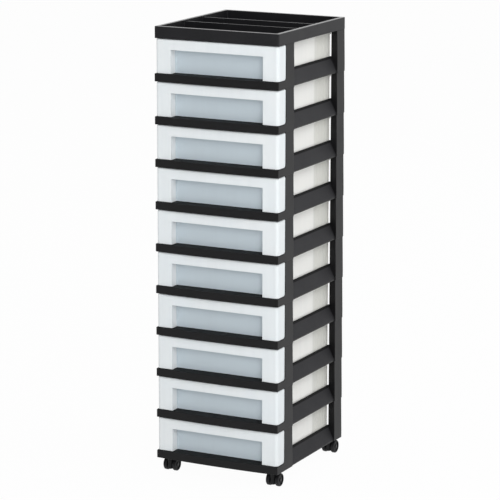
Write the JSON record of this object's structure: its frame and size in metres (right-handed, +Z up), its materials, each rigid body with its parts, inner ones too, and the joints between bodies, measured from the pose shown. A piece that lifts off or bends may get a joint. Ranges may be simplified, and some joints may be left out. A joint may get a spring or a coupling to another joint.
{
  "type": "plastic drawer tower",
  "caption": "Tall narrow rolling rack of stacked black plastic frames with pale translucent pull-out drawers, a divided tray on top and small twin-wheel casters.",
  "frame": {"origin": "on the floor under the middle of the overall width and depth", "axes": "+Z up, +X to the right when looking at the drawer fronts, -Y out of the drawer fronts"},
  "size_m": [0.306, 0.345, 1.0238],
  "materials": {
    "frame_black": "fine-grained black moulded plastic",
    "tray_black": "fine-grained black moulded plastic",
    "drawer_pearl": "milky translucent plastic with a soft pearl sheen",
    "caster_black": "black moulded plastic",
    "wheel_black": "black hard plastic tread",
    "caster_steel": "zinc-plated steel"
  },
  "bodies": {
    "rack": {"base_frame": "frame_black", "shelf_frame_2": "frame_black", "shelf_frame_3": "frame_black", "shelf_frame_4": "frame_black", "shelf_frame_5": "frame_black", "shelf_frame_6": "frame_black", "shelf_frame_7": "frame_black", "shelf_frame_8": "frame_black", "shelf_frame_9": "frame_black", "shelf_frame_10": "frame_black", "organizer_tray": "tray_black", "front_left_caster_stem": "caster_steel", "front_right_caster_stem": "caster_steel", "back_left_caster_stem": "caster_steel", "back_right_caster_stem": "caster_steel"},
    "drawer_1": {"drawer_1": "drawer_pearl"},
    "drawer_2": {"drawer_2": "drawer_pearl"},
    "drawer_3": {"drawer_3": "drawer_pearl"},
    "drawer_4": {"drawer_4": "drawer_pearl"},
    "drawer_5": {"drawer_5": "drawer_pearl"},
    "drawer_6": {"drawer_6": "drawer_pearl"},
    "drawer_7": {"drawer_7": "drawer_pearl"},
    "drawer_8": {"drawer_8": "drawer_pearl"},
    "drawer_9": {"drawer_9": "drawer_pearl"},
    "drawer_10": {"drawer_10": "drawer_pearl"},
    "front_left_caster": {"front_left_caster_body": "caster_black", "front_left_caster_axle": "caster_steel"},
    "front_left_outer_wheel": {"front_left_outer_wheel": "wheel_black"},
    "front_left_inner_wheel": {"front_left_inner_wheel": "wheel_black"},
    "front_right_caster": {"front_right_caster_body": "caster_black", "front_right_caster_axle": "caster_steel"},
    "front_right_outer_wheel": {"front_right_outer_wheel": "wheel_black"},
    "front_right_inner_wheel": {"front_right_inner_wheel": "wheel_black"},
    "back_left_caster": {"back_left_caster_body": "caster_black", "back_left_caster_axle": "caster_steel"},
    "back_left_outer_wheel": {"back_left_outer_wheel": "wheel_black"},
    "back_left_inner_wheel": {"back_left_inner_wheel": "wheel_black"},
    "back_right_caster": {"back_right_caster_body": "caster_black", "back_right_caster_axle": "caster_steel"},
    "back_right_outer_wheel": {"back_right_outer_wheel": "wheel_black"},
    "back_right_inner_wheel": {"back_right_inner_wheel": "wheel_black"}
  },
  "joints": [
    {"name": "drawer_1_slide", "type": "slide", "parent": "rack", "child": "drawer_1", "axis": [0, -1, 0], "range_m": [0, 0.2525]},
    {"name": "drawer_2_slide", "type": "slide", "parent": "rack", "child": "drawer_2", "axis": [0, -1, 0], "range_m": [0, 0.2525]},
    {"name": "drawer_3_slide", "type": "slide", "parent": "rack", "child": "drawer_3", "axis": [0, -1, 0], "range_m": [0, 0.2525]},
    {"name": "drawer_4_slide", "type": "slide", "parent": "rack", "child": "drawer_4", "axis": [0, -1, 0], "range_m": [0, 0.2525]},
    {"name": "drawer_5_slide", "type": "slide", "parent": "rack", "child": "drawer_5", "axis": [0, -1, 0], "range_m": [0, 0.2525]},
    {"name": "drawer_6_slide", "type": "slide", "parent": "rack", "child": "drawer_6", "axis": [0, -1, 0], "range_m": [0, 0.2525]},
    {"name": "drawer_7_slide", "type": "slide", "parent": "rack", "child": "drawer_7", "axis": [0, -1, 0], "range_m": [0, 0.2525]},
    {"name": "drawer_8_slide", "type": "slide", "parent": "rack", "child": "drawer_8", "axis": [0, -1, 0], "range_m": [0, 0.2525]},
    {"name": "drawer_9_slide", "type": "slide", "parent": "rack", "child": "drawer_9", "axis": [0, -1, 0], "range_m": [0, 0.2525]},
    {"name": "drawer_10_slide", "type": "slide", "parent": "rack", "child": "drawer_10", "axis": [0, -1, 0], "range_m": [0, 0.2525]},
    {"name": "front_left_caster_swivel", "type": "hinge", "parent": "rack", "child": "front_left_caster", "pos_m": [-0.131, -0.144, 0.03], "axis": [0, 0, 1], "continuous": true},
    {"name": "front_left_outer_wheel_spin", "type": "hinge", "parent": "front_left_caster", "child": "front_left_outer_wheel", "pos_m": [-0.1423, -0.1355, 0.015], "axis": [1, 0, 0], "continuous": true},
    {"name": "front_left_inner_wheel_spin", "type": "hinge", "parent": "front_left_caster", "child": "front_left_inner_wheel", "pos_m": [-0.1197, -0.1355, 0.015], "axis": [1, 0, 0], "continuous": true},
    {"name": "front_right_caster_swivel", "type": "hinge", "parent": "rack", "child": "front_right_caster", "pos_m": [0.131, -0.144, 0.03], "axis": [0, 0, 1], "continuous": true},
    {"name": "front_right_outer_wheel_spin", "type": "hinge", "parent": "front_right_caster", "child": "front_right_outer_wheel", "pos_m": [0.1423, -0.1355, 0.015], "axis": [1, 0, 0], "continuous": true},
    {"name": "front_right_inner_wheel_spin", "type": "hinge", "parent": "front_right_caster", "child": "front_right_inner_wheel", "pos_m": [0.1197, -0.1355, 0.015], "axis": [1, 0, 0], "continuous": true},
    {"name": "back_left_caster_swivel", "type": "hinge", "parent": "rack", "child": "back_left_caster", "pos_m": [-0.131, 0.149, 0.03], "axis": [0, 0, 1], "continuous": true},
    {"name": "back_left_outer_wheel_spin", "type": "hinge", "parent": "back_left_caster", "child": "back_left_outer_wheel", "pos_m": [-0.1423, 0.1575, 0.015], "axis": [1, 0, 0], "continuous": true},
    {"name": "back_left_inner_wheel_spin", "type": "hinge", "parent": "back_left_caster", "child": "back_left_inner_wheel", "pos_m": [-0.1197, 0.1575, 0.015], "axis": [1, 0, 0], "continuous": true},
    {"name": "back_right_caster_swivel", "type": "hinge", "parent": "rack", "child": "back_right_caster", "pos_m": [0.131, 0.149, 0.03], "axis": [0, 0, 1], "continuous": true},
    {"name": "back_right_outer_wheel_spin", "type": "hinge", "parent": "back_right_caster", "child": "back_right_outer_wheel", "pos_m": [0.1423, 0.1575, 0.015], "axis": [1, 0, 0], "continuous": true},
    {"name": "back_right_inner_wheel_spin", "type": "hinge", "parent": "back_right_caster", "child": "back_right_inner_wheel", "pos_m": [0.1197, 0.1575, 0.015], "axis": [1, 0, 0], "continuous": true}
  ]
}
